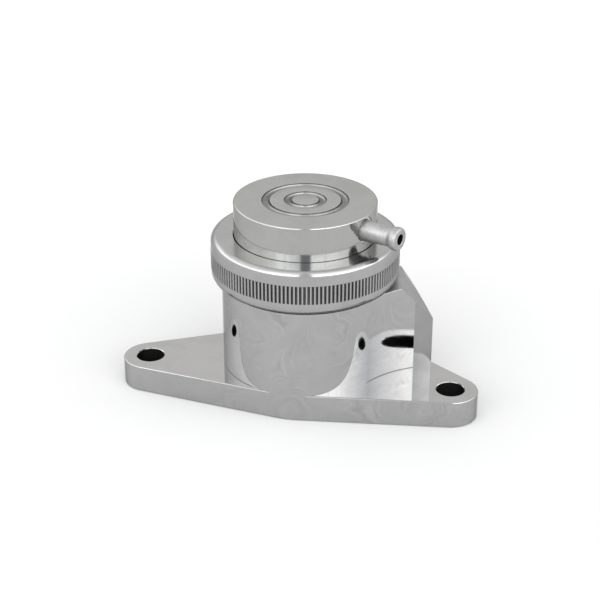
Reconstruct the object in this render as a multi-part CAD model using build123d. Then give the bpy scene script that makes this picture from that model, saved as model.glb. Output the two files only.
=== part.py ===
from build123d import *

import os
from math import acos, atan2, cos, degrees, hypot, pi, radians, sin, sqrt, tan

# Flange-mounted blow off valve, in millimetres. +Z runs up the valve's axis from the flange's
# bottom face, +X along the line of the two bolts, and +Y to the rear, where the outlet is.
# The origin is where the axis meets the bottom face. A piston inside closes the inlet in the
# bottom, and lifts to let the air out through the block at the rear right.

# Flange: two bolt ends joined to the turned body in front, and to a wider boss behind it
flange_t = 8.4
bolt_spacing = 93.0
bolt_line_y = -10.5
bolt_hole_r = 4.2
bolt_end_r = 8.2
boss_step = 1.12
left_edge_angle = 118.8
edge_break = 0.4

# Body: turned outside, with a spigot that carries the collar's thread
body_h = 35.7
body_shoulder = 0.6
spigot_wall = 5.4
spigot_h = 9.3
chamber_r = 19.0
inlet_r = 14.5
seat_h = 9.5
mouth_chamfer = 0.6

# Outlet block: concave front wall, narrow end facet, and a flat face at the rear
block_reach = 28.85
block_facet_w = 7.1
block_facet_angle = 45.5
block_front_r = 29.5
block_top_step = 5.0
block_cone_angle = 35.0
block_edge_r = 0.3
outlet_r = 7.5
outlet_offset = 8.0
outlet_rise = 0.6
outlet_socket_step = 1.5
outlet_socket_depth = 5.0
outlet_margin = 3.0

# Knurled collar, screwed on to the spigot
collar_wall = 3.42
collar_gap = 0.5
collar_lip_t = 2.0
collar_top_r = 2.0
collar_bottom_r = 2.2
knurl_count = 150
knurl_depth = 0.6
knurl_h = 5.6
knurl_base = 3.75

# Cap and the slip washer that the collar presses on
cap_wall = 5.74
cap_rise = 10.5
cap_lip_t = 2.35
cap_spigot_h = 2.0
cap_spigot_wall = 3.45
cap_rim_r = 0.5
cap_roof_t = 2.85
groove_w = 2.42
groove_depth = 1.0
groove_floor_r = 0.7
outer_groove_r = 11.66
inner_groove_r = 5.1
washer_t = 0.5

# Vacuum tail, screwed into a spotface in the cap's side
tail_angle = -21.6
tail_drop = 4.55
tail_r = 3.15
tail_neck_r = 2.75
tail_bead_r = 3.45
tail_bore_r = 1.55
tail_shank_r = 2.5
tail_l = 12.16
bead_l = 2.7
bead_back_l = 0.9
bead_round = 0.45
spotface_r = 4.0
spotface_depth = 0.74
tail_recess_gap = 0.3
tail_recess_depth = 1.2
tail_seal_t = 0.8

# Piston, with its guide above and its nose on the seat below
piston_lift = 8.0
piston_guide_h = 9.0
piston_wall = 2.6
nose_rim = 0.6
nose_h = 3.0
pocket_floor_t = 3.5
face_seal_w = 1.3
face_seal_t = 1.2
seat_land = 0.4
band_w = 2.4
band_t = 0.9
piston_seal_d = 1.7
seal_from_end = 1.7

# Spring, perch and shims
spring_r = 10.1
wire_r = 0.9
spring_turns = 8
perch_t = 1.0
perch_neck_h = 2.5
perch_wall = 0.9
shim_t = 1.0
shim_overlap = 0.6
roof_boss_h = 4.0

# Rubber rings in the body's two flat faces
flange_seal_d = 2.6
flange_seal_land = 2.05
cap_seal_d = 1.5

# Clearances
running = 0.05
loose = 0.3
lip_clear = 0.8
spring_room = 0.7
seat_clear = 0.04
groove_side = 0.15
stop_gap = 0.1

# Heights that follow from the sizes above
spigot_top = body_h + spigot_h
cap_lip_top = spigot_top + cap_lip_t
collar_lip_z = cap_lip_top + washer_t
collar_top = collar_lip_z + collar_lip_t
cap_top = collar_top + cap_rise
cap_bottom = spigot_top - cap_spigot_h
roof_z = cap_top - cap_roof_t
piston_top = cap_bottom - stop_gap - piston_lift
piston_guide_z = piston_top - piston_guide_h
pocket_z = seat_h + pocket_floor_t
perch_top = pocket_z + perch_t
spring_top = roof_z - 2 * shim_t
tail_z = cap_top - tail_drop
outlet_z = seat_h + outlet_rise + outlet_r

# Radii that follow from the sizes above, from the chamber outwards
thread_r = chamber_r + spigot_wall
body_r = thread_r + body_shoulder
boss_r = body_r + boss_step
block_top_r = body_r + block_top_step
outlet_socket_r = outlet_r + outlet_socket_step
collar_bore_r = thread_r + running
collar_r = collar_bore_r + collar_wall
cap_spigot_r = chamber_r - running
cap_cavity_r = cap_spigot_r - cap_spigot_wall
cap_r = cap_cavity_r + cap_wall
cap_lip_r = thread_r - lip_clear
collar_lip_r = cap_r + loose
cap_seal_r = (chamber_r + mouth_chamfer + thread_r) / 2
flange_seal_r = inlet_r + flange_seal_land + flange_seal_d / 2 + groove_side

# Radii of the spring and the piston
spring_outer_r = spring_r + wire_r
spring_inner_r = spring_r - wire_r
shim_r = spring_outer_r + shim_overlap
piston_guide_r = chamber_r - loose
piston_pocket_r = spring_outer_r + spring_room
piston_waist_r = piston_pocket_r + piston_wall
nose_seal_r = inlet_r + seat_land
nose_r = nose_seal_r + face_seal_w + nose_rim

# Distances along the vacuum tail from the valve's axis
tail_recess_r = tail_r + tail_recess_gap
spotface_s = cap_r - spotface_depth
recess_s = spotface_s - tail_recess_depth
tail_root_s = recess_s + tail_seal_t
tail_tip_s = spotface_s + tail_l


def polar(radius, angle):
    """The point at a radius and an angle in degrees round the axis."""
    return Vector(radius * cos(radians(angle)), radius * sin(radians(angle)))


# Places in plan: the bolts, and the directions that the flange's straight edges look in.
# The front edges are tangent to the body and the bolt ends, the rear right edge to the boss and
# the bolt end. The rear left edge looks in its own direction, and cuts into the boss.
bolt_right = Vector(bolt_spacing / 2, bolt_line_y)
bolt_left = Vector(-bolt_spacing / 2, bolt_line_y)
bolt_reach = hypot(bolt_spacing / 2, bolt_line_y)
bolt_angle = degrees(atan2(bolt_line_y, bolt_spacing / 2))
front_angle = bolt_angle - degrees(acos((body_r - bolt_end_r) / bolt_reach))
rear_edge_angle = bolt_angle + degrees(acos((boss_r - bolt_end_r) / bolt_reach))
rear_normal = polar(1, rear_edge_angle)
rear_along = polar(1, rear_edge_angle - 90)
left_distance = bolt_left.dot(polar(1, left_edge_angle)) + bolt_end_r
boss_end_angle = left_edge_angle + degrees(acos(left_distance / boss_r))


def turned(*profile):
    """A solid of revolution about Z, from the (radius, height) corners of its section."""
    outline = Polyline(*[(r, 0, z) for r, z in profile], close=True)
    return revolve(make_face(outline), Axis.Z)


def ring(inner, outer, bottom, top):
    """A plain turned ring."""
    return turned((inner, bottom), (outer, bottom), (outer, top), (inner, top))


def hole(radius, bottom, top, sink):
    """A round cutter along Z whose two ends open out by a small countersink."""
    return turned((0, bottom), (radius + sink, bottom), (radius, bottom + sink),
                  (radius, top - sink), (radius + sink, top), (0, top))


def seal_ring(centre_r, section_d, z):
    """A rubber ring of round section."""
    return Pos(0, 0, z) * Torus(centre_r, section_d / 2)


def flange_plate():
    """The flange: its outline goes clockwise seen from below, starting at the left bolt end."""
    mirrored_front = 180 - front_angle
    left_arc = mirrored_front - left_edge_angle
    body_arc = 360 + front_angle - mirrored_front
    outline = [
        CenterArc(bolt_left, bolt_end_r, left_edge_angle, left_arc),
        Line(bolt_left + polar(bolt_end_r, mirrored_front), polar(body_r, mirrored_front)),
        CenterArc((0, 0), body_r, mirrored_front, body_arc),
        Line(polar(body_r, front_angle), bolt_right + polar(bolt_end_r, front_angle)),
        CenterArc(bolt_right, bolt_end_r, front_angle, rear_edge_angle - front_angle),
        Line(bolt_right + polar(bolt_end_r, rear_edge_angle), polar(boss_r, rear_edge_angle)),
        CenterArc((0, 0), boss_r, rear_edge_angle, boss_end_angle - rear_edge_angle),
        Line(polar(boss_r, boss_end_angle), bolt_left + polar(bolt_end_r, left_edge_angle)),
    ]
    plate = extrude(make_face(Wire(outline)), flange_t)
    rims = plate.edges().group_by(Axis.Z)
    return fillet(rims[0] + rims[-1], edge_break)


def outlet_block():
    """The block beside the body: a milled outline under a top that is turned about the axis."""
    rear_corner = rear_normal * boss_r + rear_along * block_reach
    front_corner = rear_corner - polar(block_facet_w, block_facet_angle)
    reach = hypot(front_corner.X, front_corner.Y)
    centre_reach = body_r + block_front_r
    swing = acos((reach**2 + centre_reach**2 - block_front_r**2) / (2 * reach * centre_reach))
    centre_angle = degrees(atan2(front_corner.Y, front_corner.X) - swing)
    centre = polar(centre_reach, centre_angle)
    start_angle = centre_angle + 180
    end_angle = degrees(atan2(front_corner.Y - centre.Y, front_corner.X - centre.X))
    left_reach = outlet_offset - outlet_socket_r - outlet_margin
    left_corner = rear_normal * boss_r + rear_along * left_reach
    outline = [
        CenterArc(centre, block_front_r, start_angle, end_angle - start_angle),
        Line(front_corner, rear_corner),
        Line(rear_corner, left_corner),
        Line(left_corner, (0, 0)),
        Line((0, 0), polar(body_r, centre_angle)),
    ]
    plan = make_face(Wire(outline))
    outer_corners = plan.vertices().sort_by(SortBy.DISTANCE)[-2:]
    plan = fillet(outer_corners, block_edge_r)
    foot_r = block_top_r + body_h * tan(radians(block_cone_angle))
    top_form = turned((0, 0), (foot_r, 0), (block_top_r, body_h), (0, body_h))
    return extrude(plan, body_h) & top_form


def valve_body():
    """Flange, turned body, outlet block and spigot in one piece, with its bores."""
    solid = flange_plate() + ring(0, body_r, 0, body_h) + ring(0, thread_r, 0, spigot_top)
    solid += outlet_block()
    bore = turned((0, 0), (inlet_r, 0), (inlet_r, seat_h), (chamber_r, seat_h),
                  (chamber_r, spigot_top - mouth_chamfer), (chamber_r + mouth_chamfer, spigot_top),
                  (0, spigot_top))
    solid -= bore
    solid -= outlet_port()
    for bolt in (bolt_left, bolt_right):
        solid -= Pos(bolt) * hole(bolt_hole_r, 0, flange_t, edge_break)
    solid -= seal_groove(flange_seal_r, flange_seal_d, 0, 1)
    solid -= seal_groove(cap_seal_r, cap_seal_d, spigot_top, -1)
    return solid


def outlet_port():
    """The cutter for the outlet: a passage from the chamber to a socket in the rear face."""
    start = sqrt(chamber_r**2 - (outlet_offset + outlet_r)**2)
    socket = boss_r - outlet_socket_depth
    cutter = turned((0, start), (outlet_r, start), (outlet_r, socket), (outlet_socket_r, socket),
                    (outlet_socket_r, boss_r), (0, boss_r))
    face = Plane(origin=(0, 0, outlet_z), x_dir=tuple(rear_along), z_dir=tuple(rear_normal))
    return face * Pos(outlet_offset, 0, 0) * cutter


def seal_groove(centre_r, section_d, face_z, direction):
    """The cutter for a face groove that holds a rubber ring just inside a flat face."""
    half_w = section_d / 2 + groove_side
    floor_z = face_z + direction * (section_d + 2 * seat_clear)
    return ring(centre_r - half_w, centre_r + half_w, min(face_z, floor_z), max(face_z, floor_z))


def knurled_collar():
    """The clamp ring: threaded bore, lip over the cap, rounded edges and a straight knurl."""
    bottom = body_h + collar_gap
    solid = turned((collar_bore_r, bottom), (collar_r, bottom), (collar_r, collar_top),
                   (collar_lip_r, collar_top), (collar_lip_r, collar_lip_z), (collar_bore_r, collar_lip_z))
    rims = solid.edges().filter_by(GeomType.CIRCLE).filter_by(lambda e: abs(e.radius - collar_r) < 1e-6)
    solid = fillet(rims.sort_by(Axis.Z)[-1], collar_top_r)
    rims = solid.edges().filter_by(GeomType.CIRCLE).filter_by(lambda e: abs(e.radius - collar_r) < 1e-6)
    solid = fillet(rims.sort_by(Axis.Z)[0], collar_bottom_r)
    slot_w = pi * collar_r / knurl_count
    slots = PolarLocations(collar_r, knurl_count) * Rectangle(2 * knurl_depth, slot_w)
    return solid - Pos(0, 0, bottom + knurl_base) * extrude(Sketch(slots), knurl_h)


def groove_cutter(centre_r):
    """A ring groove in the cap's top with rounded corners at its floor."""
    cutter = ring(centre_r - groove_w / 2, centre_r + groove_w / 2, cap_top - groove_depth, cap_top)
    return fillet(cutter.edges().group_by(Axis.Z)[0], groove_floor_r)


def tail_plane():
    """The plane whose Z runs out along the vacuum tail, from the valve's axis."""
    return Plane(origin=(0, 0, tail_z), z_dir=tuple(polar(1, tail_angle)))


def top_cap():
    """The cap: spigot, clamped lip, closed top with two ring grooves, and the tail's port."""
    solid = turned((0, cap_bottom), (cap_spigot_r, cap_bottom), (cap_spigot_r, spigot_top),
                   (cap_lip_r, spigot_top), (cap_lip_r, cap_lip_top), (cap_r, cap_lip_top),
                   (cap_r, cap_top), (0, cap_top))
    solid = fillet(solid.edges().group_by(Axis.Z)[-1].sort_by(SortBy.LENGTH)[-1], cap_rim_r)
    centring_r = spring_inner_r - loose
    centring_z = roof_z - roof_boss_h
    solid -= turned((0, cap_bottom), (cap_cavity_r, cap_bottom), (cap_cavity_r, roof_z),
                    (centring_r, roof_z), (centring_r, centring_z), (0, centring_z))
    for groove_r in (outer_groove_r, inner_groove_r):
        solid -= groove_cutter(groove_r)
    port = turned((0, shim_r), (tail_shank_r + running, shim_r), (tail_shank_r + running, recess_s),
                  (tail_recess_r, recess_s), (tail_recess_r, spotface_s), (spotface_r, spotface_s),
                  (spotface_r, cap_r), (0, cap_r))
    return solid - tail_plane() * port


def vacuum_nipple():
    """The hose tail: shank in the cap, plain tube, neck and a rounded end bead, bored through."""
    bead_s = tail_tip_s - bead_l
    shank_s = cap_cavity_r + loose
    tail = turned((tail_bore_r, shank_s), (tail_shank_r, shank_s), (tail_shank_r, tail_root_s),
                  (tail_r, tail_root_s), (tail_r, cap_r), (tail_neck_r, bead_s),
                  (tail_bead_r, bead_s + bead_back_l), (tail_bead_r, tail_tip_s),
                  (tail_bore_r, tail_tip_s))
    tip_edge = tail.edges().group_by(Axis.Z)[-1].sort_by(SortBy.LENGTH)[-1]
    return tail_plane() * fillet(tip_edge, bead_round)


def nipple_seal():
    """A flat washer under the tail's shoulder, at the floor of the recess."""
    return tail_plane() * ring(tail_shank_r + running, tail_r, recess_s, tail_root_s)


def swivel_washer():
    """The plastic slip washer between the cap's lip and the collar's lip."""
    return ring(collar_lip_r, cap_lip_r, cap_lip_top, collar_lip_z)


def piston():
    """The piston: nose, waist and guide on one hollow stem, with its seal grooves."""
    nose_top = seat_h + nose_h
    solid = turned((0, seat_h), (nose_r, seat_h), (nose_r, nose_top), (piston_waist_r, nose_top),
                   (piston_waist_r, piston_guide_z), (piston_guide_r, piston_guide_z),
                   (piston_guide_r, piston_top), (piston_pocket_r, piston_top),
                   (piston_pocket_r, pocket_z), (0, pocket_z))
    seal_outer = nose_seal_r + face_seal_w
    solid -= ring(nose_seal_r, seal_outer, seat_h, seat_h + face_seal_t)
    groove_half = piston_seal_d / 2 + groove_side
    seal_floor_r = chamber_r - running - piston_seal_d - seat_clear
    for z in piston_seal_heights():
        solid -= ring(seal_floor_r, chamber_r, z - groove_half, z + groove_half)
    return solid - ring(band_inner_r(), chamber_r, band_z() - band_w / 2, band_z() + band_w / 2)


def piston_seal_heights():
    """The heights of the two slide seals, each the same distance from its end of the guide."""
    return piston_guide_z + seal_from_end, piston_top - seal_from_end


def band_z():
    """The height of the wear band, at the middle of the guide."""
    return piston_guide_z + piston_guide_h / 2


def band_inner_r():
    """The radius of the wear band's bore."""
    return chamber_r - running - band_t


def piston_seal(z):
    """A slide seal that just clears the chamber's wall."""
    return seal_ring(chamber_r - running - piston_seal_d / 2, piston_seal_d, z)


def piston_guide_band():
    """The plastic wear band round the guide."""
    return ring(band_inner_r(), chamber_r - running, band_z() - band_w / 2, band_z() + band_w / 2)


def piston_face_seal():
    """The flat seal in the nose, level with the nose's face on the seat."""
    return ring(nose_seal_r, nose_seal_r + face_seal_w, seat_h, seat_h + face_seal_t)


def spring_perch():
    """The shouldered washer that centres the spring on the pocket's floor."""
    neck_r = spring_inner_r - loose
    bore = neck_r - perch_wall
    rim_r = piston_pocket_r - loose
    neck_top = perch_top + perch_neck_h
    return turned((bore, pocket_z), (rim_r, pocket_z), (rim_r, perch_top), (neck_r, perch_top),
                  (neck_r, neck_top), (bore, neck_top))


def valve_spring():
    """The coil spring between perch and shims, ground flat at both ends."""
    height = spring_top - perch_top
    path = Helix(pitch=height / spring_turns, height=height, radius=spring_r)
    wire = Plane(origin=path @ 0, z_dir=path % 0) * Circle(wire_r)
    coil = Pos(0, 0, perch_top) * sweep(wire, path=path, is_frenet=True)
    return coil & ring(0, spring_outer_r + loose, perch_top, spring_top)


def spring_shim(bottom):
    """A preload shim round the roof's boss."""
    return ring(spring_inner_r, shim_r, bottom, bottom + shim_t)


lower_seal_z, upper_seal_z = piston_seal_heights()
nodes = {
    "valve_body": valve_body(),
    "flange_oring": seal_ring(flange_seal_r, flange_seal_d, flange_seal_d / 2 + seat_clear),
    "cap_oring": seal_ring(cap_seal_r, cap_seal_d, spigot_top - cap_seal_d / 2 - seat_clear),
    "knurled_collar": knurled_collar(),
    "swivel_washer": swivel_washer(),
    "top_cap": top_cap(),
    "vacuum_nipple": vacuum_nipple(),
    "nipple_seal": nipple_seal(),
    "piston": piston(),
    "piston_upper_oring": piston_seal(upper_seal_z),
    "piston_lower_oring": piston_seal(lower_seal_z),
    "piston_guide_band": piston_guide_band(),
    "piston_face_seal": piston_face_seal(),
    "spring_perch": spring_perch(),
    "valve_spring": valve_spring(),
    "spring_shim_lower": spring_shim(spring_top),
    "spring_shim_upper": spring_shim(spring_top + shim_t),
}

os.makedirs("parts", exist_ok=True)
for name, shape in nodes.items():
    export_step(shape, f"parts/{name}.step")
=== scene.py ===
import bmesh
import bpy
import numpy as np
from mathutils import Matrix, Vector


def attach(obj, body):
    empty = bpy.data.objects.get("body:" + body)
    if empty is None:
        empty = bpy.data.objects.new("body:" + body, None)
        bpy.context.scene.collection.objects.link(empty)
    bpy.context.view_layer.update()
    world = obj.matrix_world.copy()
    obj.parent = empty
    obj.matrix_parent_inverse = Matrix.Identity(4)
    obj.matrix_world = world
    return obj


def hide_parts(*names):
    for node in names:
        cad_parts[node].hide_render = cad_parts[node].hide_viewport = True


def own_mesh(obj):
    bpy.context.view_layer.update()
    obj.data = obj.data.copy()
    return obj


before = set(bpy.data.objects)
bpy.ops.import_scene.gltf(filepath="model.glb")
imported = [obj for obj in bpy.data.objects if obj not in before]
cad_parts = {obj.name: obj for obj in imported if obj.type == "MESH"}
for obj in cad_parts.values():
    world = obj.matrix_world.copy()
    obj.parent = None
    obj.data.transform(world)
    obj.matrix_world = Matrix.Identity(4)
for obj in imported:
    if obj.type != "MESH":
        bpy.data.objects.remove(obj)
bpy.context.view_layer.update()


# Valve body: flange, turned barrel, outlet block and threaded spigot, all one piece of aluminium.
# It is milled and turned from the solid and then buffed by hand, so that it shines nearly like a
# mirror with soft clouds and fine marks in it. Two bolts hold its flange down.
mm = 0.001
flange_t = 8.4 * mm
bolt_x = 46.5 * mm
bolt_y = -10.5 * mm
bolt_hole_r = 4.2 * mm
bolt_end_r = 8.2 * mm
boss_r = 26.12 * mm
left_edge_angle = 118.8
edge_round = 0.4 * mm
edge_break = 0.4 * mm
hole_break = 0.18 * mm
mouth_break = 0.6 * mm
# Cutters stand out of the faces by the overshoot, and forms that are joined overlap by a hair.
overshoot = 1.0 * mm
hair = 0.02 * mm
weld_gap = hair / 10

barrel_r = 25.0 * mm
barrel_top = 35.7 * mm
spigot_r = 24.4 * mm
spigot_top = 45.0 * mm
chamber_r = 19.0 * mm
inlet_r = 14.5 * mm
seat_z = 9.5 * mm

block_reach = 28.85 * mm
block_left = 4.0 * mm
block_facet_w = 7.1 * mm
block_facet_angle = 45.5
block_facet_dip = 0.26 * mm
block_hollow_r = 29.5 * mm
block_top_r = 30.0 * mm
block_cone_angle = 35.0
block_corner_r = 0.22 * mm
block_edge_break = 0.2 * mm
barrel_edge_break = 0.48 * mm
outlet_r = 7.5 * mm
outlet_socket_r = 9.0 * mm
outlet_socket_depth = 5.0 * mm
outlet_offset = 8.0 * mm
outlet_z = 17.6 * mm

flange_ring_r = 18.0 * mm
flange_ring_d = 2.6 * mm
cap_ring_r = 22.0 * mm
cap_ring_d = 1.5 * mm
ring_room = 0.15 * mm
ring_sink = 0.08 * mm


def direction(angle):
    """The unit vector at an angle in degrees in plan: (cos a, sin a)."""
    return np.array([np.cos(np.radians(angle)), np.sin(np.radians(angle))])


def arc(centre, radius, start, end, steps):
    """Points on a circle in plan: centre + radius (cos a, sin a), for a from start to end in degrees."""
    angle = np.radians(np.linspace(start, end, steps + 1))
    return np.asarray(centre) + radius * np.stack([np.cos(angle), np.sin(angle)], axis=1)


def new_piece(name, points, faces):
    """A mesh object at the origin from an array of points and a list of faces, with doubles merged."""
    mesh = bpy.data.meshes.new(name)
    mesh.from_pydata(points.tolist(), [], faces)
    work = bmesh.new()
    work.from_mesh(mesh)
    bmesh.ops.remove_doubles(work, verts=work.verts, dist=weld_gap)
    bmesh.ops.recalc_face_normals(work, faces=work.faces)
    work.to_mesh(mesh)
    work.free()
    piece = bpy.data.objects.new(name, mesh)
    bpy.context.scene.collection.objects.link(piece)
    return piece


def grid_faces(rows, columns):
    """The quads of a grid of rows by columns points that closes on itself along its rows."""
    row, column = np.meshgrid(np.arange(rows - 1), np.arange(columns), indexing="ij")
    following = (column + 1) % columns
    corners = [row * columns + column, row * columns + following,
               (row + 1) * columns + following, (row + 1) * columns + column]
    return np.stack(corners, axis=-1).reshape(-1, 4).tolist()


def prism(name, outlines, heights):
    """A closed solid through like outlines, one at each height, with a flat face at each end."""
    count = len(outlines[0])
    layers = [np.column_stack([outline, np.full(count, z)]) for outline, z in zip(outlines, heights)]
    last = (len(layers) - 1) * count
    ends = [list(range(count))[::-1], list(range(last, last + count))]
    return new_piece(name, np.concatenate(layers), grid_faces(len(layers), count) + ends)


def rounded(corners, steps=6):
    """A closed outline from (x, y) or (x, y, radius) corners. A corner with a radius becomes an arc
    that is tangent to both of its sides: it starts and ends radius / tan(half the corner) from it."""
    points = []
    for index, corner in enumerate(corners):
        here = np.array(corner[:2])
        if len(corner) == 2:
            points.append(here[None])
            continue
        back = np.array(corners[index - 1][:2]) - here
        ahead = np.array(corners[(index + 1) % len(corners)][:2]) - here
        back, ahead = back / np.linalg.norm(back), ahead / np.linalg.norm(ahead)
        half = np.arccos(np.clip(back @ ahead, -1, 1)) / 2
        centre = here + (back + ahead) / np.linalg.norm(back + ahead) * corner[2] / np.sin(half)
        first = here + back * corner[2] / np.tan(half) - centre
        last = here + ahead * corner[2] / np.tan(half) - centre
        share = np.linspace(0, 1, steps + 1)[:, None]
        turn = np.pi - 2 * half
        swept = np.sin((1 - share) * turn) * first + np.sin(share * turn) * last
        points.append(centre + swept / np.sin(turn))
    return np.concatenate(points)


def turned(name, corners, segments=360, place=None, steps=6):
    """A solid of revolution: each point (r, z) of the rounded outline goes to
    (r cos a, r sin a, z) for a round the full circle, and then through the place matrix."""
    outline = rounded(corners, steps)
    outline = np.concatenate([outline, outline[:1]])
    angle = np.linspace(0, 2 * np.pi, segments, endpoint=False)
    radius, height = outline[:, :1], outline[:, 1:]
    points = np.stack([radius * np.cos(angle), radius * np.sin(angle), height + 0 * angle], axis=-1)
    piece = new_piece(name, points.reshape(-1, 3), grid_faces(len(outline), segments))
    if place is not None:
        piece.data.transform(place)
    return piece


def shaped(solid, *steps):
    """The solid after each (operation, tool) of exact joining or cutting. The tools are used up."""
    for operation, tool in steps:
        step = solid.modifiers.new(operation, "BOOLEAN")
        step.operation = operation
        step.object = tool
        step.solver = "EXACT"
    graph = bpy.context.evaluated_depsgraph_get()
    mesh = bpy.data.meshes.new_from_object(solid.evaluated_get(graph))
    solid.modifiers.clear()
    solid.data = mesh
    for _, tool in steps:
        bpy.data.objects.remove(tool)
    work = bmesh.new()
    work.from_mesh(mesh)
    bmesh.ops.remove_doubles(work, verts=work.verts, dist=weld_gap)
    bmesh.ops.dissolve_degenerate(work, dist=weld_gap, edges=work.edges)
    work.to_mesh(mesh)
    work.free()
    return solid


def read_out(collection, key, width=1, kind=np.float32):
    """One property of a mesh's points, corners or faces as an array, with a row of width for each."""
    values = np.zeros(len(collection) * width, kind)
    collection.foreach_get(key, values)
    return values if width == 1 else values.reshape(-1, width).astype(float)


def smoothed(piece, axes=(), sharp_angle=28.0):
    """Sharp edges where the faces turn by more than the angle, and elsewhere normals weighted by area.
    On a face that was turned about one of the upright axes, which is one whose corners all have the
    same r nr + z nz, each corner's normal loses its part along the circle, so it is a true round's."""
    mesh = piece.data
    mesh.shade_smooth()
    mesh.set_sharp_from_angle(angle=np.radians(sharp_angle))
    weighted = piece.modifiers.new("weighted", "WEIGHTED_NORMAL")
    weighted.keep_sharp = True
    if not axes:
        return piece
    graph = bpy.context.evaluated_depsgraph_get()
    mesh = bpy.data.meshes.new_from_object(piece.evaluated_get(graph))
    piece.modifiers.clear()
    piece.data = mesh
    point = read_out(mesh.vertices, "co", 3)
    corner_point = read_out(mesh.loops, "vertex_index", kind=np.int32)
    normal = read_out(mesh.corner_normals, "vector", 3)
    face_normal = read_out(mesh.polygons, "normal", 3)
    start = read_out(mesh.polygons, "loop_start", kind=np.int32)
    total = read_out(mesh.polygons, "loop_total", kind=np.int32)
    level_slack = hair / 5
    turn_slack = 0.015
    least_outward = 0.05
    for axis in axes:
        offset = point[corner_point, :2] - np.asarray(axis)
        radius = np.maximum(np.linalg.norm(offset, axis=1), hair)
        outward = offset / radius[:, None]
        middle = np.add.reduceat(outward, start) / total[:, None]
        middle /= np.maximum(np.linalg.norm(middle, axis=1), np.finfo(float).eps)[:, None]
        away = np.sum(face_normal[:, :2] * middle, axis=1)
        along = face_normal[:, 1] * middle[:, 0] - face_normal[:, 0] * middle[:, 1]
        rise = np.repeat(face_normal[:, 2], total)
        level = radius * np.repeat(away, total) + point[corner_point, 2] * rise
        spread = np.maximum.reduceat(level, start) - np.minimum.reduceat(level, start)
        round_face = (spread < level_slack) & (np.abs(along) < turn_slack)
        round_face &= np.abs(away) > least_outward
        circle = np.stack([-outward[:, 1], outward[:, 0]], axis=1)
        part = np.sum(normal[:, :2] * circle, axis=1) * np.repeat(round_face, total)
        normal[:, :2] -= part[:, None] * circle
    normal /= np.linalg.norm(normal, axis=1)[:, None]
    mesh.normals_split_custom_set(normal.tolist())
    return piece


bolt_right = np.array([bolt_x, bolt_y])
bolt_left = np.array([-bolt_x, bolt_y])
bolt_reach = np.linalg.norm(bolt_right)
bolt_angle = np.degrees(np.arctan2(bolt_y, bolt_x))
front_angle = bolt_angle - np.degrees(np.arccos((barrel_r - bolt_end_r) / bolt_reach))
rear_angle = bolt_angle + np.degrees(np.arccos((boss_r - bolt_end_r) / bolt_reach))
left_distance = bolt_left @ direction(left_edge_angle) + bolt_end_r


def flange_outline(inset):
    """The flange's outline moved in by an inset: every round's radius and every edge's distance
    from its centre is less by that inset, and the straight edges join the rounds."""
    mirrored = 180 - front_angle
    boss_end = left_edge_angle + np.degrees(np.arccos((left_distance - inset) / (boss_r - inset)))
    return np.concatenate([
        arc(bolt_left, bolt_end_r - inset, left_edge_angle, mirrored, 72),
        arc((0, 0), barrel_r - hair - inset, mirrored, 360 + front_angle, 60),
        arc(bolt_right, bolt_end_r - inset, front_angle, rear_angle, 72),
        arc((0, 0), boss_r - inset, rear_angle, boss_end, 140),
    ])


quarter = np.radians(np.linspace(0, 90, 7))
rise = edge_round * (1 - np.cos(quarter))
draw_in = edge_round * (1 - np.sin(quarter))
insets = np.concatenate([draw_in, draw_in[::-1]])
heights = np.concatenate([rise, flange_t - rise[::-1]])
valve_body = prism("valve_body_polished", [flange_outline(inset) for inset in insets], heights)

rear_normal = direction(rear_angle)
rear_along = direction(rear_angle - 90)
rear_corner = rear_normal * (boss_r + hair) + rear_along * block_reach
left_corner = rear_normal * (boss_r + hair) - rear_along * block_left
front_corner = rear_corner - direction(block_facet_angle) * block_facet_w

# The hollow front wall is an arc that touches the barrel from outside and ends at the front corner.
hollow_reach = barrel_r + block_hollow_r
corner_reach = np.linalg.norm(front_corner)
swing = np.arccos((corner_reach**2 + hollow_reach**2 - block_hollow_r**2)
                  / (2 * corner_reach * hollow_reach))
hollow_angle = np.degrees(np.arctan2(front_corner[1], front_corner[0]) - swing)
hollow_centre = direction(hollow_angle) * hollow_reach
to_corner = front_corner - hollow_centre
hollow_end = np.degrees(np.arctan2(to_corner[1], to_corner[0]))
hollow_wall = arc(hollow_centre, block_hollow_r, hollow_angle + 180, hollow_end, 110)

# The facet between the front and rear corners is a shallow arc that dips by its own small depth.
dip_r = block_facet_w**2 / (8 * block_facet_dip) + block_facet_dip / 2
dip_middle = (front_corner + rear_corner) / 2
dip_centre = dip_middle + direction(block_facet_angle - 90) * (dip_r - block_facet_dip)
half_dip = np.degrees(np.arcsin(block_facet_w / 2 / dip_r))
facet = arc(dip_centre, dip_r, block_facet_angle + 90 + half_dip, block_facet_angle + 90 - half_dip, 8)

block_outline = rounded([
    *[tuple(point) for point in hollow_wall[:-1]],
    (*front_corner, block_corner_r),
    *[tuple(point) for point in facet[1:-1]],
    (*rear_corner, block_corner_r),
    tuple(left_corner),
    (0.0, 0.0),
])
block = prism("block", [block_outline, block_outline], [flange_t / 2, barrel_top])
foot_r = block_top_r + barrel_top * np.tan(np.radians(block_cone_angle))
block_form = turned("block_form", [
    (0, 0), (foot_r, 0), (block_top_r, barrel_top, block_edge_break), (0, barrel_top),
], 720)


def broken_top(piece, height, width):
    """Rounds the edges of a prism's top face, which is at that height, over a width."""
    work = bmesh.new()
    work.from_mesh(piece.data)
    rim = [edge for edge in work.edges if all(vert.co.z > height - hair for vert in edge.verts)]
    bmesh.ops.bevel(work, geom=rim, offset=width, segments=4, profile=0.5, affect="EDGES",
                    clamp_overlap=True)
    work.to_mesh(piece.data)
    work.free()
    return piece


block = shaped(broken_top(block, barrel_top, block_edge_break), ("INTERSECT", block_form))

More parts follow.
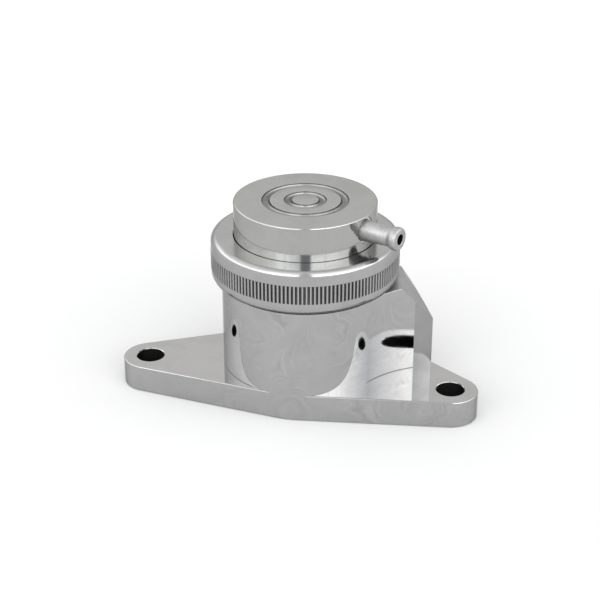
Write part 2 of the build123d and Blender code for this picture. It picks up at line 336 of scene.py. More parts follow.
barrel = turned("barrel", [
    (0, edge_round), (barrel_r, edge_round), (barrel_r, barrel_top - barrel_edge_break),
    (barrel_r - barrel_edge_break, barrel_top), (spigot_r, barrel_top),
    (spigot_r, spigot_top - edge_break), (spigot_r - edge_break, spigot_top), (0, spigot_top),
], 512)
main_bore = turned("main_bore", [
    (0, -overshoot), (inlet_r, -overshoot), (inlet_r, seat_z), (chamber_r, seat_z),
    (chamber_r, spigot_top - mouth_break), (chamber_r + mouth_break + overshoot, spigot_top + overshoot),
    (0, spigot_top + overshoot),
], 360)


def face_groove(name, centre_r, ring_d, outside_z, floor_z):
    """The cutter for a groove in a flat face: as wide as the rubber ring and its room."""
    half = ring_d / 2 + ring_room
    return turned(name, [(centre_r - half, outside_z), (centre_r + half, outside_z),
                         (centre_r + half, floor_z), (centre_r - half, floor_z)], 360)


flange_groove = face_groove("flange_groove", flange_ring_r, flange_ring_d, -overshoot,
                            flange_ring_d + ring_sink)
cap_groove = face_groove("cap_groove", cap_ring_r, cap_ring_d, spigot_top + overshoot,
                         spigot_top - cap_ring_d - ring_sink)


def level_axis(angle, height, shift=0.0):
    """The matrix that lays a turned form's axis level and out along a plan angle, at a height and
    moved sideways by a shift."""
    out = Vector((*direction(angle), 0))
    side = Vector((*direction(angle - 90), 0))
    turn = Matrix((-side, Vector((0, 0, 1)), out)).transposed().to_4x4()
    return Matrix.Translation(Vector((0, 0, height)) + side * shift) @ turn


passage_start = np.sqrt(chamber_r**2 - (outlet_offset + outlet_r)**2)
socket_start = boss_r - outlet_socket_depth
outlet = turned("outlet", [
    (0, passage_start), (outlet_r, passage_start), (outlet_r, socket_start),
    (outlet_socket_r, socket_start), (outlet_socket_r, boss_r - edge_break),
    (outlet_socket_r + edge_break + overshoot, boss_r + overshoot), (0, boss_r + overshoot),
], 180, level_axis(rear_angle, outlet_z, outlet_offset))


def bolt_hole(centre):
    """The cutter for a bolt hole that opens out by a small countersink at both ends."""
    wide = bolt_hole_r + hole_break + overshoot
    return turned("bolt_hole", [
        (0, -overshoot), (wide, -overshoot), (bolt_hole_r, hole_break),
        (bolt_hole_r, flange_t - hole_break), (wide, flange_t + overshoot), (0, flange_t + overshoot),
    ], 128, Matrix.Translation((*centre, 0)))


valve_body = shaped(
    valve_body, ("UNION", barrel), ("UNION", block), ("DIFFERENCE", main_bore),
    ("DIFFERENCE", flange_groove), ("DIFFERENCE", cap_groove), ("DIFFERENCE", outlet),
    ("DIFFERENCE", bolt_hole(bolt_left)), ("DIFFERENCE", bolt_hole(bolt_right)),
)
smoothed(valve_body, axes=[(0.0, 0.0), bolt_left, bolt_right, hollow_centre, dip_centre])


# The height of a face's normal tells what the face is: a wall has it under the wall's tilt and the
# upright facet under the facet's, and a flat has it over the flat's tilt.
wall_tilt = 0.3
facet_tilt = 0.1
flat_tilt = 0.9


def node(tree, kind, **settings):
    """A shader node with its named inputs or properties set."""
    made = tree.nodes.new(kind)
    for key, value in settings.items():
        if key in made.inputs:
            made.inputs[key].default_value = value
        else:
            setattr(made, key, value)
    return made


def maths(tree, operation, *values):
    """The output of a maths node, whose inputs are value sockets or plain numbers."""
    made = node(tree, "ShaderNodeMath", operation=operation)
    for socket, value in zip(made.inputs, values):
        if isinstance(value, float):
            socket.default_value = value
        else:
            tree.links.new(value, socket)
    return made.outputs["Value"]


def product(tree, *values):
    """The product of two or more value sockets."""
    result = values[0]
    for value in values[1:]:
        result = maths(tree, "MULTIPLY", result, value)
    return result


def remap(tree, value, start, end, **settings):
    """A value socket carried over so that start becomes 0 and end becomes 1."""
    made = node(tree, "ShaderNodeMapRange", **settings)
    made.inputs["From Min"].default_value = start
    made.inputs["From Max"].default_value = end
    tree.links.new(value, made.inputs["Value"])
    return made.outputs["Result"]


def wall_mask(tree):
    """1 where the surface is a wall, and 0 elsewhere."""
    surface = node(tree, "ShaderNodeNewGeometry")
    tilt = node(tree, "ShaderNodeSeparateXYZ")
    tree.links.new(surface.outputs["Normal"], tilt.inputs["Vector"])
    return maths(tree, "LESS_THAN", tilt.outputs["Z"], wall_tilt)


def polish_group():
    """Buffed metal: soft clouds in colour and roughness, long waves and fine scratches in the normal.
    The buffing wheel's swirls are uneven arcs round scattered points: a 1D noise read along the
    distance to the nearest one, after the place has been shaken a little. They fade in and out, and
    are on walls only. The speckle is a fine noise about zero."""
    tree = bpy.data.node_groups.new("buffed", "ShaderNodeTree")
    for name, kind, value in (("Colour", "NodeSocketColor", (0.6, 0.6, 0.6, 1)),
                              ("Cloud colour", "NodeSocketColor", (0.5, 0.5, 0.5, 1)),
                              ("Roughness", "NodeSocketFloat", 0.1),
                              ("Cloud roughness", "NodeSocketFloat", 0.1),
                              ("Wave height", "NodeSocketFloat", 0.00001),
                              ("Scratch height", "NodeSocketFloat", 0.000001),
                              ("Swirl", "NodeSocketFloat", 0.0),
                              ("Speckle", "NodeSocketFloat", 0.0)):
        socket = tree.interface.new_socket(name, in_out="INPUT", socket_type=kind)
        socket.default_value = value
    for name, kind in (("Colour", "NodeSocketColor"), ("Roughness", "NodeSocketFloat"),
                       ("Normal", "NodeSocketVector")):
        tree.interface.new_socket(name, in_out="OUTPUT", socket_type=kind)
    given = node(tree, "NodeGroupInput")
    result = node(tree, "NodeGroupOutput")
    place = node(tree, "ShaderNodeTexCoord")
    link = tree.links.new

    def noise(**settings):
        """A noise texture in the object's own coordinates."""
        made = node(tree, "ShaderNodeTexNoise", **settings)
        link(place.outputs["Object"], made.inputs["Vector"])
        return made

    clouds = noise(Scale=120.0, Detail=3.0, Roughness=0.55, Distortion=0.6)
    cloud = remap(tree, clouds.outputs["Fac"], 0.35, 0.7, interpolation_type="SMOOTHSTEP")
    rough = node(tree, "ShaderNodeMix", data_type="FLOAT")
    link(cloud, rough.inputs["Factor"])
    link(given.outputs["Roughness"], rough.inputs["A"])
    link(given.outputs["Cloud roughness"], rough.inputs["B"])
    link(rough.outputs["Result"], result.inputs["Roughness"])

    shake = noise(Scale=85.0, Detail=3.0, Roughness=0.6)
    shaken = node(tree, "ShaderNodeVectorMath", operation="MULTIPLY_ADD")
    shaken.inputs[1].default_value = (0.008, 0.008, 0.008)
    link(shake.outputs["Color"], shaken.inputs[0])
    link(place.outputs["Object"], shaken.inputs[2])
    centres = node(tree, "ShaderNodeTexVoronoi", Scale=52.0, Randomness=1.0)
    link(shaken.outputs["Vector"], centres.inputs["Vector"])
    arcs = node(tree, "ShaderNodeTexNoise", noise_dimensions="1D", Scale=1.0, Detail=2.0)
    link(maths(tree, "MULTIPLY", centres.outputs["Distance"], 17.0), arcs.inputs["W"])
    arc_mark = remap(tree, arcs.outputs["Fac"], 0.5, 0.63, clamp=False)
    patches = noise(Scale=130.0, Detail=1.0)
    patch = remap(tree, patches.outputs["Fac"], 0.35, 0.65, interpolation_type="SMOOTHSTEP")
    swirl = product(tree, arc_mark, wall_mask(tree), patch, given.outputs["Swirl"])

    grains = noise(Scale=1900.0, Detail=2.0, Roughness=0.6)
    speckle = maths(tree, "SUBTRACT", grains.outputs["Fac"], 0.5)
    marked = maths(tree, "ADD", swirl, cloud)
    colour = node(tree, "ShaderNodeMix", data_type="RGBA", clamp_factor=False)
    link(maths(tree, "MULTIPLY_ADD", speckle, given.outputs["Speckle"], marked), colour.inputs["Factor"])
    link(given.outputs["Colour"], colour.inputs["A"])
    link(given.outputs["Cloud colour"], colour.inputs["B"])
    link(colour.outputs["Result"], result.inputs["Colour"])

    waves = noise(Scale=70.0, Detail=1.0, Roughness=0.4)
    wave_bump = node(tree, "ShaderNodeBump", Strength=1.0)
    link(waves.outputs["Fac"], wave_bump.inputs["Height"])
    link(given.outputs["Wave height"], wave_bump.inputs["Distance"])
    stretch = node(tree, "ShaderNodeMapping", Scale=(2600, 2600, 260))
    link(place.outputs["Object"], stretch.inputs["Vector"])
    scratches = node(tree, "ShaderNodeTexNoise", Scale=1.0, Detail=2.0, Roughness=0.7)
    link(stretch.outputs["Vector"], scratches.inputs["Vector"])
    scratch_bump = node(tree, "ShaderNodeBump", Strength=1.0)
    link(scratches.outputs["Fac"], scratch_bump.inputs["Height"])
    link(given.outputs["Scratch height"], scratch_bump.inputs["Distance"])
    link(wave_bump.outputs["Normal"], scratch_bump.inputs["Normal"])
    link(scratch_bump.outputs["Normal"], result.inputs["Normal"])
    return tree


buffed = polish_group()


def buffed_metal(name, colour, cloud_colour, roughness, cloud_roughness, wave, scratch, grain=0.0,
                 swirl=0.0, speckle=0.0):
    """Polished metal from the buffed group. A turned piece has its grain round the axis, and so
    blurs what it reflects across that grain. The grazing tint holds back its brightness edge on."""
    grazing_tint = (0.6, 0.6, 0.6, 1)
    quarter_turn = 0.25
    material = bpy.data.materials.new(name)
    material.use_nodes = True
    tree = material.node_tree
    shader = tree.nodes["Principled BSDF"]
    shader.inputs["Metallic"].default_value = 1.0
    shader.inputs["Specular Tint"].default_value = grazing_tint
    shader.inputs["Anisotropic"].default_value = grain
    group = node(tree, "ShaderNodeGroup", node_tree=buffed)
    for key, value in (("Colour", (*colour, 1)), ("Cloud colour", (*cloud_colour, 1)),
                       ("Roughness", roughness), ("Cloud roughness", cloud_roughness),
                       ("Wave height", wave), ("Scratch height", scratch),
                       ("Swirl", swirl), ("Speckle", speckle)):
        group.inputs[key].default_value = value
    for output, target in (("Colour", "Base Color"), ("Roughness", "Roughness"), ("Normal", "Normal")):
        tree.links.new(group.outputs[output], shader.inputs[target])
    if grain:
        shader.inputs["Anisotropic Rotation"].default_value = quarter_turn
        round_axis = node(tree, "ShaderNodeTangent", direction_type="RADIAL", axis="Z")
        tree.links.new(round_axis.outputs["Tangent"], shader.inputs["Tangent"])
    return material


def add_shade_line(material, colour, low_z, high_z, clear_way, clear_from, clear_to):
    """Painted shade in the corner at a wall's foot: on walls the colour takes over from low_z, and
    is gone at high_z. It fades out where the distance along the clear way goes from clear_from to
    clear_to, because no flat is below the wall beyond that."""
    tree = material.node_tree
    shader = tree.nodes["Principled BSDF"]
    clean = shader.inputs["Base Color"].links[0].from_socket
    place = node(tree, "ShaderNodeTexCoord")
    part = node(tree, "ShaderNodeSeparateXYZ")
    toward = node(tree, "ShaderNodeVectorMath", operation="DOT_PRODUCT")
    toward.inputs[1].default_value = (*clear_way, 0)
    mixed = node(tree, "ShaderNodeMix", data_type="RGBA")
    mixed.inputs["B"].default_value = (*colour, 1)
    link = tree.links.new
    link(place.outputs["Object"], part.inputs["Vector"])
    link(place.outputs["Object"], toward.inputs[0])
    low_part = remap(tree, part.outputs["Z"], high_z, (low_z + high_z) / 2,
                     interpolation_type="SMOOTHSTEP")
    above = maths(tree, "GREATER_THAN", part.outputs["Z"], low_z)
    kept = remap(tree, toward.outputs["Value"], clear_to, clear_from, interpolation_type="SMOOTHSTEP")
    link(product(tree, low_part, above, wall_mask(tree), kept), mixed.inputs["Factor"])
    link(clean, mixed.inputs["A"])
    link(mixed.outputs["Result"], shader.inputs["Base Color"])


def face_table(piece):
    """The middle and the normal of each of a piece's faces."""
    return read_out(piece.data.polygons, "center", 3), read_out(piece.data.polygons, "normal", 3)


def finish_faces(piece, chosen, material):
    """Gives the chosen faces a material, which joins the piece's materials if it is new there."""
    metals = piece.data.materials
    if metals.find(material.name) < 0:
        metals.append(material)
    number = read_out(piece.data.polygons, "material_index", kind=np.int32)
    number[chosen] = metals.find(material.name)
    piece.data.polygons.foreach_set("material_index", number)


def in_bores(piece, holes, inner_r=0.0):
    """The faces that run along a hole's axis with their middle inside the hole, which is (point on the
    axis, axis, radius, lowest and highest distance along it), for any of the holes. Those within the
    inner radius about the main axis are in too, unless they are flats."""
    middle, way = face_table(piece)
    chosen = (np.hypot(middle[:, 0], middle[:, 1]) < inner_r) & (np.abs(way[:, 2]) < flat_tilt)
    for point, axis, radius, nearest, farthest in holes:
        offset = middle - np.asarray(point)
        along = offset @ np.asarray(axis)
        away = np.linalg.norm(offset - along[:, None] * np.asarray(axis), axis=1)
        across = np.abs(way @ np.asarray(axis)) < wall_tilt
        chosen |= (away < radius) & (along > nearest) & (along < farthest) & across
    return chosen


body_metal = buffed_metal("buffed_body", (0.41, 0.41, 0.41), (0.385, 0.385, 0.385), 0.05, 0.08,
                          0.03 * mm, 0.0004 * mm, swirl=0.9, speckle=0.8)
# Painted shade: a fine dark line at the foot of the barrel's and block's walls, where they stand on the
# flange's top. These set how high it reaches and where it fades out.
shade_line_top = flange_t + 0.24 * mm
shade_line_clear_angle = -71.6
shade_line_clear_from = 17.0 * mm
shade_line_clear_to = 19.6 * mm
add_shade_line(body_metal, (0.1, 0.1, 0.1), flange_t + hair, shade_line_top,
               direction(shade_line_clear_angle), shade_line_clear_from, shade_line_clear_to)
# Painted shade: a near-black copy of the metal in the bolt holes, the chamber's bore, the gap under the
# collar and the tail's bore.
bore_shade_metal = buffed_metal("painted_bore_shade", (0.05, 0.05, 0.05), (0.03, 0.03, 0.03), 0.45, 0.55,
                           0.01 * mm, 0.002 * mm)
# Partly real and partly painted shade: the block's facet is left as milled and is rougher, and its
# colour is painted darker than the buffed body's.
facet_shade_metal = buffed_metal("milled_and_shaded_facet", (0.345, 0.345, 0.345), (0.32, 0.32, 0.32), 0.12, 0.17,
                           0.01 * mm, 0.001 * mm)
top_metal = buffed_metal("turned_shoulder", (0.4, 0.4, 0.4), (0.36, 0.36, 0.36), 0.35, 0.42,
                         0.003 * mm, 0.0006 * mm)
valve_body.data.materials.append(body_metal)
up = (0, 0, 1)
finish_faces(valve_body, in_bores(valve_body, [
    ((*bolt_left, 0), up, bolt_hole_r + hair, 0, flange_t),
    ((*bolt_right, 0), up, bolt_hole_r + hair, 0, flange_t),
], chamber_r + hair), bore_shade_metal)
face_middle, face_way = face_table(valve_body)
face_z = face_middle[:, 2]
from_axis = np.hypot(face_middle[:, 0], face_middle[:, 1])
from_dip = np.linalg.norm(face_middle[:, :2] - dip_centre, axis=1)
on_facet = (np.abs(face_way[:, 2]) < facet_tilt) & (np.abs(from_dip - dip_r) < hair)
finish_faces(valve_body, on_facet & (from_axis > corner_reach), facet_shade_metal)
finish_faces(valve_body, (np.abs(face_z - barrel_top) < hair) & (from_axis > barrel_r), top_metal)
# Painted shade in the gap under the collar: the barrel's top edge and the spigot get the near-black bore
# metal.
under_collar = (face_z > barrel_top - barrel_edge_break) & (face_z < spigot_top - edge_break)
finish_faces(valve_body, under_collar & (from_axis < barrel_r - hair), bore_shade_metal)
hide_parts("valve_body")
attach(valve_body, "body")


# Knurled collar: a turned ring of aluminium with a straight knurl, which screws on to the spigot.
# Its lip presses on the cap's rim through a slip washer, and it is tightened by hand.
collar_bottom = 35.9 * mm
collar_top = 49.85 * mm
collar_r = 28.05 * mm
collar_bore_r = 24.45 * mm
collar_lip_r = 21.44 * mm
collar_lip_z = 47.85 * mm
collar_top_round = 1.85 * mm
collar_lip_round = 0.08 * mm
collar_bottom_round = 3.0 * mm
knurl_teeth = 150
knurl_depth = 0.45 * mm
knurl_proud = 0.08 * mm
knurl_bottom = 39.95 * mm
knurl_top = 45.55 * mm
knurl_end = 0.03 * mm


def knurled_ring(name):
    """The collar's outline carried round the axis, with its rows in the knurl's band raised a little
    on each tooth, and drawn in by the knurl's depth in each slot: eight columns to a tooth."""
    profile = rounded([(collar_bore_r, collar_bottom), (collar_r, collar_bottom, collar_bottom_round),
                       (collar_r, collar_top, collar_top_round),
                       (collar_lip_r, collar_top, collar_lip_round),
                       (collar_lip_r, collar_lip_z), (collar_bore_r, collar_lip_z)], steps=10)
    side = np.argmax(np.diff(profile[:, 1])) + 1
    # Rows of the band: the height and the share of the knurl's shape there.
    band = np.array([[knurl_bottom, 0], [knurl_bottom + knurl_end, 1], [knurl_top - knurl_end, 1],
                     [knurl_top, 0]])
    rows = np.column_stack([np.full(len(band), collar_r), band[:, 0]])
    outline = np.concatenate([profile[:side], rows, profile[side:], profile[:1]])
    part = np.concatenate([np.zeros(side), band[:, 1], np.zeros(len(profile) - side + 1)])
    # Columns of a tooth: the place along it and how far each is sunk into the slot, from 0 to 1.
    tooth = np.array([0, 0.14, 0.28, 0.42, 0.53, 0.67, 0.76, 0.9])
    slot = np.array([0, 0, 0, 0, 0.45, 1, 1, 0.45])
    angle = ((np.arange(knurl_teeth)[:, None] + tooth) * 2 * np.pi / knurl_teeth).ravel()
    shape = knurl_proud - (knurl_depth + knurl_proud) * np.tile(slot, knurl_teeth)
    radius = outline[:, :1] + part[:, None] * shape
    height = outline[:, 1:] + 0 * angle
    points = np.stack([radius * np.cos(angle), radius * np.sin(angle), height], axis=-1)
    return new_piece(name, points.reshape(-1, 3), grid_faces(len(outline), len(angle)))


collar = smoothed(knurled_ring("knurled_collar_polished"), sharp_angle=35.0)
collar_metal = buffed_metal("buffed_collar", (0.4, 0.4, 0.4), (0.37, 0.37, 0.37), 0.13, 0.16,
                            0.003 * mm, 0.0002 * mm, grain=0.9, speckle=0.7)
# Painted shade: a darker copy of the collar's aluminium, with a rougher finish, in the knurl's slots, in
# the bore and on the underside over the gap.
slot_shade_metal = buffed_metal("knurl_slot_shade", (0.2, 0.2, 0.2), (0.13, 0.13, 0.13), 0.35, 0.5,
                          0.004 * mm, 0.001 * mm)
collar.data.materials.append(collar_metal)
finish_faces(collar, in_bores(collar, [
    ((0, 0, 0), up, collar_r - hair, knurl_bottom, knurl_top),
    ((0, 0, 0), up, collar_bore_r + hair, collar_bottom, collar_top),
]), slot_shade_metal)
face_middle, face_way = face_table(collar)
finish_faces(collar, (face_way[:, 2] < -flat_tilt) & (face_middle[:, 2] < knurl_bottom), slot_shade_metal)
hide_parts("knurled_collar")
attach(collar, "collar")


# Cap: turned from aluminium bar, with a spigot and O-ring face below and two ring grooves in its top.
# It is bored hollow for the spring, and a spotface in its side carries the vacuum tail.
cap_bottom = 43.0 * mm
cap_spigot_r = 18.95 * mm
cap_cavity_r = 15.5 * mm
cap_lip_r = 23.6 * mm
cap_lip_top = 47.35 * mm
cap_r = 21.24 * mm
cap_top = 60.35 * mm
cap_roof = 57.5 * mm
cap_rim_round = 0.5 * mm
cap_foot_round = 0.3 * mm
roof_boss_r = 8.9 * mm
roof_boss_z = 53.5 * mm
groove_w = 2.42 * mm
groove_depth = 1.0 * mm
groove_floor_round = 0.9 * mm
groove_edge_round = 0.05 * mm
outer_groove_r = 11.66 * mm
inner_groove_r = 5.1 * mm
tail_angle = -21.6
tail_z = 55.8 * mm
spotface_r = 4.0 * mm
spotface_s = 20.5 * mm
recess_r = 3.3 * mm
recess_s = 19.3 * mm
shank_hole_r = 2.55 * mm
shank_hole_s = 10.0 * mm


def top_groove(centre_r):
    """A ring groove's corners from its outer edge in to its inner edge, rounded at edge and floor."""
    half = groove_w / 2
    floor = cap_top - groove_depth
    return [(centre_r + half, cap_top, groove_edge_round), (centre_r + half, floor, groove_floor_round),
            (centre_r - half, floor, groove_floor_round), (centre_r - half, cap_top, groove_edge_round)]


cap = turned("top_cap_polished", [
    (roof_boss_r, roof_boss_z), (roof_boss_r, cap_roof), (cap_cavity_r, cap_roof),
    (cap_cavity_r, cap_bottom), (cap_spigot_r, cap_bottom, cap_foot_round), (cap_spigot_r, spigot_top),
    (cap_lip_r, spigot_top), (cap_lip_r, cap_lip_top), (cap_r, cap_lip_top),
    (cap_r, cap_top, cap_rim_round), *top_groove(outer_groove_r), *top_groove(inner_groove_r),
    (0, cap_top), (0, roof_boss_z),
], 512, steps=8)
port = turned("port", [
    (0, shank_hole_s), (shank_hole_r, shank_hole_s), (shank_hole_r, recess_s), (recess_r, recess_s),
    (recess_r, spotface_s), (spotface_r, spotface_s), (spotface_r, cap_r + overshoot),
    (0, cap_r + overshoot),
], 128, level_axis(tail_angle, tail_z))
cap = smoothed(shaped(cap, ("DIFFERENCE", port)), axes=[(0.0, 0.0)])
cap_metal = buffed_metal("buffed_cap", (0.4, 0.403, 0.392), (0.375, 0.378, 0.368), 0.07, 0.1,
                         0.003 * mm, 0.0003 * mm, grain=0.8, speckle=1.5)
# Painted shade: a darker copy of the cap's aluminium on the walls and floors of the two top grooves.
groove_shade_metal = buffed_metal("cap_groove_shade", (0.26, 0.26, 0.255), (0.2, 0.2, 0.195), 0.3, 0.4,
                            0.003 * mm, 0.0005 * mm)
# Partly a rougher milled finish and partly painted light: the spotface and the recess round the tail's
# root are much lighter than the rest of the cap.
spotface_light_metal = buffed_metal("spotface", (0.72, 0.72, 0.71), (0.66, 0.66, 0.65), 0.42, 0.5,
                          0.003 * mm, 0.0006 * mm)
cap.data.materials.append(cap_metal)
face_middle, face_way = face_table(cap)
from_axis = np.hypot(face_middle[:, 0], face_middle[:, 1])
sunk = (face_middle[:, 2] > cap_roof + hair) & (face_middle[:, 2] < cap_top - hair)
finish_faces(cap, sunk & (from_axis < outer_groove_r + groove_w), groove_shade_metal)
tail_way = np.array([*direction(tail_angle), 0])
along_tail = (face_middle - (0, 0, tail_z)) @ tail_way
from_tail = np.linalg.norm(face_middle - (0, 0, tail_z) - along_tail[:, None] * tail_way, axis=1)
finish_faces(cap, (from_tail < spotface_r + hair) & (along_tail > recess_s - hair), spotface_light_metal)
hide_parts("top_cap")
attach(cap, "cap")


# Vacuum tail: a small turned aluminium tube with a waist and a rounded bead at its end.
# Its shank screws into the cap's side, and a thin rubber hose is pushed over the bead.
tail_bore_r = 1.55 * mm
tail_shank_r = 2.5 * mm
tail_shank_round = 0.2 * mm
tail_r = 3.15 * mm
tail_neck_r = 2.75 * mm
tail_neck_round = 1.2 * mm
tail_bead_r = 3.45 * mm
tail_bead_foot_round = 0.6 * mm
tail_bead_end_round = 0.85 * mm
tail_mouth_round = 0.25 * mm
tail_start = 15.8 * mm
tail_shoulder = 20.1 * mm
tail_neck_s = 29.46 * mm
tail_bead_s = 30.76 * mm
tail_tip = 32.66 * mm

tail = turned("vacuum_tail_turned", [
    (tail_bore_r, tail_start), (tail_shank_r, tail_start, tail_shank_round),
    (tail_shank_r, tail_shoulder), (tail_r, tail_shoulder), (tail_r, cap_r),
    (tail_neck_r, tail_neck_s, tail_neck_round), (tail_bead_r, tail_bead_s, tail_bead_foot_round),
    (tail_bead_r, tail_tip, tail_bead_end_round), (tail_bore_r, tail_tip, tail_mouth_round),
], 192, level_axis(tail_angle, tail_z))
smoothed(tail)
tail_metal = buffed_metal("turned_tail", (0.42, 0.42, 0.42), (0.32, 0.32, 0.32), 0.5, 0.58,
                          0.004 * mm, 0.004 * mm, speckle=2.5)
tail.data.materials.append(tail_metal)
# Painted shade inside the tail's bore.
finish_faces(tail, in_bores(tail, [
    ((0, 0, tail_z), tail_way, tail_bore_r + hair, tail_start, tail_tip),
]), bore_shade_metal)
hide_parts("vacuum_nipple")
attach(tail, "cap")


# Valve spring: a coil of drawn steel wire between the piston's perch and the cap's shims.
# Its ends are closed and ground flat, and it shortens as the piston lifts.
spring_r = 10.1 * mm
wire_r = 0.9 * mm
spring_foot = 14.0 * mm
spring_head = 55.5 * mm
spring_turns = 9
ground_share = 0.6


def coil_spring(name, coil_steps=720, wire_steps=14):
    """A wire circle carried along a helix. The climb grows to the full pitch over the first turn and
    dies away over the last, so both ends are closed. The wire's middle starts and ends the ground
    share of its radius inside the ends, and what would stand past the ends is ground flat."""
    share = np.linspace(0, 1, coil_steps + 1)
    pitch = np.clip(np.minimum(share, 1 - share) * spring_turns, 0, 1)
    climb = np.concatenate([[0], np.cumsum((pitch[1:] + pitch[:-1]) / 2)])
    inside = ground_share * wire_r
    height = spring_foot + inside + (spring_head - spring_foot - 2 * inside) * climb / climb[-1]
    turn = share * spring_turns * 2 * np.pi
    round_wire = np.linspace(0, 2 * np.pi, wire_steps, endpoint=False)
    radius = spring_r + wire_r * np.cos(round_wire)
    points = np.stack([radius * np.cos(turn)[:, None], radius * np.sin(turn)[:, None],
                       height[:, None] + wire_r * np.sin(round_wire)], axis=-1)
    points[..., 2] = np.clip(points[..., 2], spring_foot, spring_head)
    last = coil_steps * wire_steps
    ends = [list(range(wire_steps))[::-1], list(range(last, last + wire_steps))]
    return new_piece(name, points.reshape(-1, 3), grid_faces(len(share), wire_steps) + ends)


spring = smoothed(coil_spring("valve_spring_wire"), sharp_angle=50.0)
spring_metal = buffed_metal("drawn_steel", (0.36, 0.36, 0.37), (0.3, 0.3, 0.31), 0.3, 0.4,
                            0.002 * mm, 0.0005 * mm)
spring.data.materials.append(spring_metal)
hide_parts("valve_spring")
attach(spring, "cap")
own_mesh(spring)


# Rubber seals: moulded black rings and washers, under the flange and the cap, round the piston and
# at the tail's root. Each lies in its groove and is pressed flat by the part above it.
def moulded(name, colour, cloud_colour, roughness, cloud_roughness):
    """Rubber or plastic: the buffed group's clouds and fine marks on a plain matt surface."""
    material = buffed_metal(name, colour, cloud_colour, roughness, cloud_roughness,
                            0.01 * mm, 0.002 * mm)
    shader = material.node_tree.nodes["Principled BSDF"]
    shader.inputs["Metallic"].default_value = 0.0
    shader.inputs["Specular Tint"].default_value = (1, 1, 1, 1)
    return material


def dressed(names, material):
    """Gives CAD nodes that are shown as they are a material of their own."""
    for name in names:
        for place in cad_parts[name].material_slots:
            place.material = material


dressed(["flange_oring", "cap_oring", "nipple_seal",
         "piston_upper_oring", "piston_lower_oring", "piston_face_seal"],
        moulded("moulded_rubber", (0.02, 0.02, 0.02), (0.035, 0.035, 0.034), 0.5, 0.62))


# Slip washer and wear band: low-friction plastic rings. The washer lets the collar turn on the cap's
# lip, and the band keeps the piston off the wall of its chamber.
dressed(["swivel_washer", "piston_guide_band"],
        moulded("slip_plastic", (0.8, 0.79, 0.75), (0.72, 0.71, 0.66), 0.4, 0.52))


# Piston, spring perch and shims: the piston and the perch are turned from aluminium and left fine
# turned, and the shims are cut from spring steel sheet. The spring presses them all together.
dressed(["piston", "spring_perch"],
        buffed_metal("turned_piston", (0.42, 0.42, 0.42), (0.37, 0.37, 0.37), 0.2, 0.27,
                     0.003 * mm, 0.0004 * mm, grain=0.7))
dressed(["spring_shim_lower", "spring_shim_upper"],
        buffed_metal("shim_steel", (0.36, 0.36, 0.37), (0.28, 0.28, 0.29), 0.3, 0.4,
                     0.003 * mm, 0.0005 * mm))


# Studio: a white table top in a room with lit walls, which are brightest on both sides of the camera.
# The camera stands a little to the right and looks down on the valve.
floor_half = 6.0
floor_drop = 0.05 * mm
floor_mesh = bpy.data.meshes.new("floor")
floor_mesh.from_pydata([(-floor_half, -floor_half, 0), (floor_half, -floor_half, 0),
                        (floor_half, floor_half, 0), (-floor_half, floor_half, 0)], [], [(0, 1, 2, 3)])
floor = bpy.data.objects.new("floor", floor_mesh)
bpy.context.scene.collection.objects.link(floor)
floor.location.z = -floor_drop
paper = bpy.data.materials.new("white_paper")
paper.use_nodes = True
paper_shader = paper.node_tree.nodes["Principled BSDF"]
paper_shader.inputs["Base Color"].default_value = (0.585, 0.585, 0.585, 1)
paper_shader.inputs["Roughness"].default_value = 0.9
paper_shader.inputs["Specular IOR Level"].default_value = 0.0
floor_mesh.materials.append(paper)

world = bpy.data.worlds.new("room")
world.use_nodes = True
bpy.context.scene.world = world


def ramp(tree, stops):
    """A ramp of light through (place, light, warmth) stops, of which the first two are its ends.
    Warm light has more red and less blue."""
    made = node(tree, "ShaderNodeValToRGB")
    made.color_ramp.interpolation = "LINEAR"
    for index, (place, light, warmth) in enumerate(stops):
        if index < 2:
            stop = made.color_ramp.elements[index]
            stop.position = place
        else:
            stop = made.color_ramp.elements.new(place)
        red, blue = light * (1 + warmth), light * (1 - warmth)
        stop.color = (red / room_peak, light / room_peak, blue / room_peak, 1)
    return made


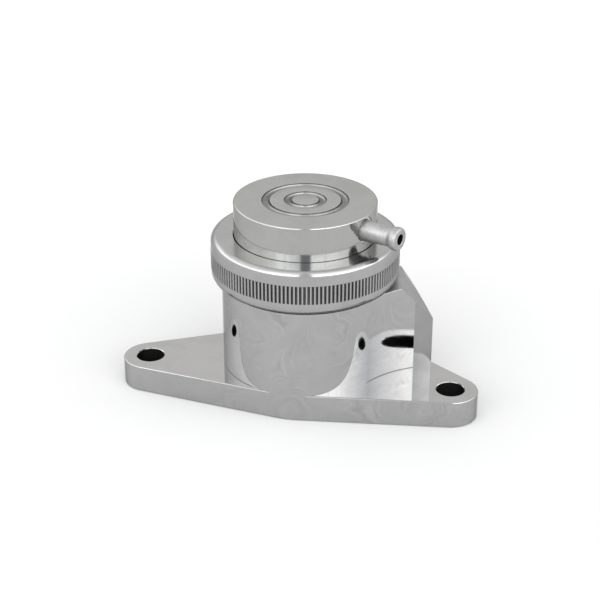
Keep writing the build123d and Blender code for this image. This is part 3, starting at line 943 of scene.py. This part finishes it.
# The ring's stops are (heading, light, warmth), with the heading in degrees from the front, which is
# -Y, towards +X. The band's stops are (sine of the height above the horizon, share of the ring).
room_peak = 6.0
rest_light = 0.95
ring_stops = [
    (-180, 1.1, 0.01), (180, 1.1, 0.01), (-155, 1.22, 0.01), (-128, 2.35, 0.0), (-105, 2.95, 0.0),
    (-60, 3.4, 0.005), (-38, 4.4, 0.0), (-31, 5.4, -0.005), (-22, 5.5, -0.01), (-20, 4.4, -0.01),
    (-17, 5.5, -0.015), (-12, 5.2, -0.015), (-4, 4.8, -0.02), (3.5, 4.0, -0.03), (6.5, 1.1, -0.04),
    (13, 0.9, -0.05), (20, 1.1, -0.03), (23.5, 5.6, -0.01), (43, 5.9, 0.0), (45.5, 4.8, 0.0),
    (48, 5.8, 0.0), (56, 5.6, 0.01), (80, 4.2, 0.0), (100, 3.4, -0.015), (118, 2.7, -0.015),
    (135, 1.4, 0.0), (152, 1.1, 0.01),
]
band_stops = [
    (0, 0), (1, 0.08), (0.05, 0), (0.3, 0.2), (0.37, 1), (0.51, 1), (0.58, 0.42), (0.75, 0.34),
    (0.9, 0.18),
]


def room_light(tree):
    """The room by the heading and the height of a ray: a ring of lit walls and windows that is
    brightest from about 22 to 31 degrees above the horizon and fades towards the ceiling, and an
    even light everywhere else."""
    sky = node(tree, "ShaderNodeTexCoord")
    part = node(tree, "ShaderNodeSeparateXYZ")
    ring = ramp(tree, [((heading_stop + 180) / 360, light, warmth)
                       for heading_stop, light, warmth in ring_stops])
    band = ramp(tree, [(height_stop, share_stop * room_peak, 0.0)
                       for height_stop, share_stop in band_stops])
    mixed = node(tree, "ShaderNodeMix", data_type="RGBA")
    even = rest_light / room_peak
    mixed.inputs["A"].default_value = (even, even, even, 1)
    background = tree.nodes["Background"]
    background.inputs["Strength"].default_value = room_peak
    link = tree.links.new
    link(sky.outputs["Generated"], part.inputs["Vector"])
    heading = maths(tree, "ARCTAN2", part.outputs["X"], maths(tree, "MULTIPLY", part.outputs["Y"], -1.0))
    link(remap(tree, heading, -np.pi, np.pi), ring.inputs["Fac"])
    link(part.outputs["Z"], band.inputs["Fac"])
    link(band.outputs["Color"], mixed.inputs["Factor"])
    link(ring.outputs["Color"], mixed.inputs["B"])
    link(mixed.outputs["Result"], background.inputs["Color"])


room_light(world.node_tree)

camera_data = bpy.data.cameras.new("camera")
camera_data.lens = 87.0
camera_data.sensor_width = 36.0
camera_data.clip_start = 0.01
camera_dip = 26.63
camera_turn = 13.13
camera = bpy.data.objects.new("camera", camera_data)
camera.location = (0.08765, -0.38264, 0.22428)
camera.rotation_euler = (np.radians(90 - camera_dip), 0, np.radians(camera_turn))
bpy.context.scene.collection.objects.link(camera)
bpy.context.scene.camera = camera
bpy.context.scene.view_settings.view_transform = "Standard"
